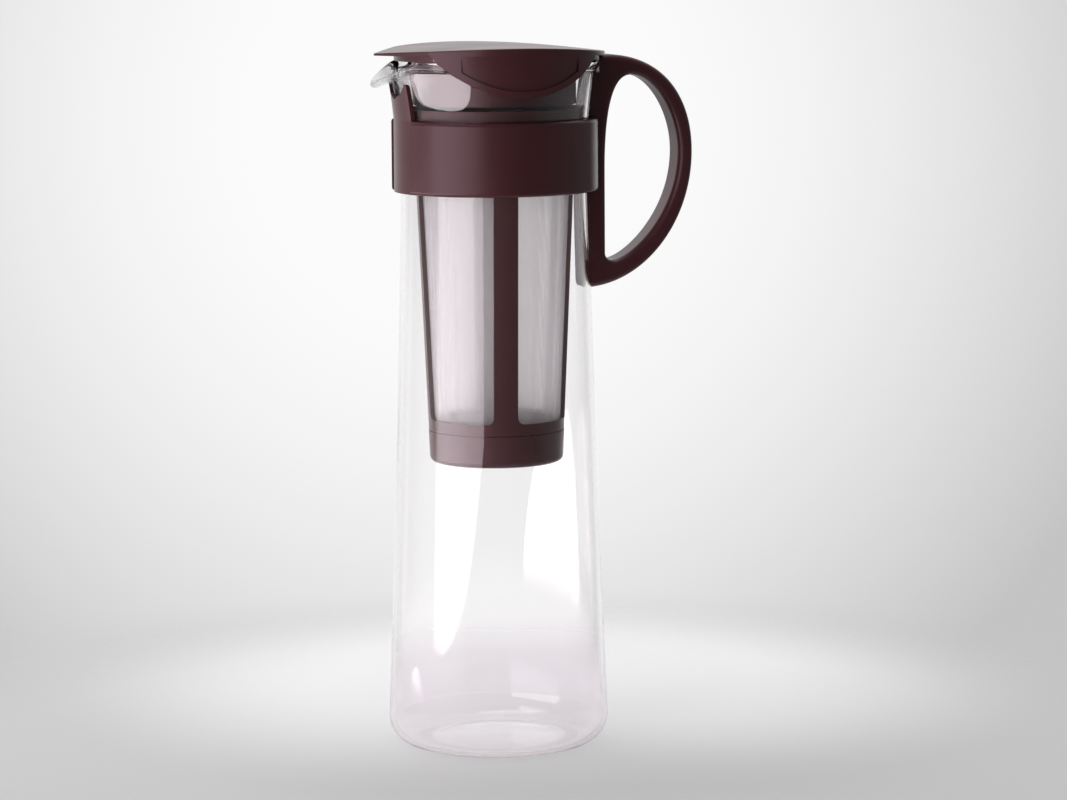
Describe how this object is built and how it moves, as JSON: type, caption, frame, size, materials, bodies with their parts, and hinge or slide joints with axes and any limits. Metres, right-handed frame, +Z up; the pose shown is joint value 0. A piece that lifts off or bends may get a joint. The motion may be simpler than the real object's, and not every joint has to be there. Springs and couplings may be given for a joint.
{
  "type": "cold brew coffee maker",
  "caption": "Tall glass bottle with a pulled spout, a plastic neck band with a loop handle, a visored lid, and a hanging mesh strainer with a twist-off cap.",
  "frame": {"origin": "centre of the glass bottle's foot, on the surface that it stands on", "axes": "+Z up along the bottle, +X towards the handle, -X towards the spout"},
  "size_m": [0.1391, 0.0936, 0.297],
  "materials": {
    "clear_glass": "clear polished heat-resistant glass",
    "brown_plastic": "dark brown moulded polypropylene, satin",
    "white_mesh": "fine off-white polyester filter mesh, translucent"
  },
  "bodies": {
    "pot": {"glass_bottle": "clear_glass", "neck_band": "brown_plastic", "handle": "brown_plastic"},
    "strainer": {"strainer_frame": "brown_plastic", "mesh_panel_1": "white_mesh", "mesh_panel_2": "white_mesh", "mesh_panel_3": "white_mesh", "mesh_panel_4": "white_mesh"},
    "strainer_cap": {"strainer_cap": "brown_plastic"},
    "lid": {"lid": "brown_plastic"}
  },
  "joints": [
    {"name": "strainer_lift", "type": "slide", "parent": "pot", "child": "strainer", "axis": [0, 0, 1], "range_m": [0, 0.2]},
    {"name": "lid_lift", "type": "slide", "parent": "strainer", "child": "lid", "axis": [0, 0, 1], "range_m": [0, 0.06]},
    {"name": "cap_twist", "type": "hinge", "parent": "strainer", "child": "strainer_cap", "pos_m": [0, 0, 0.13], "axis": [0, 0, 1], "range_deg": [0, 30]}
  ]
}
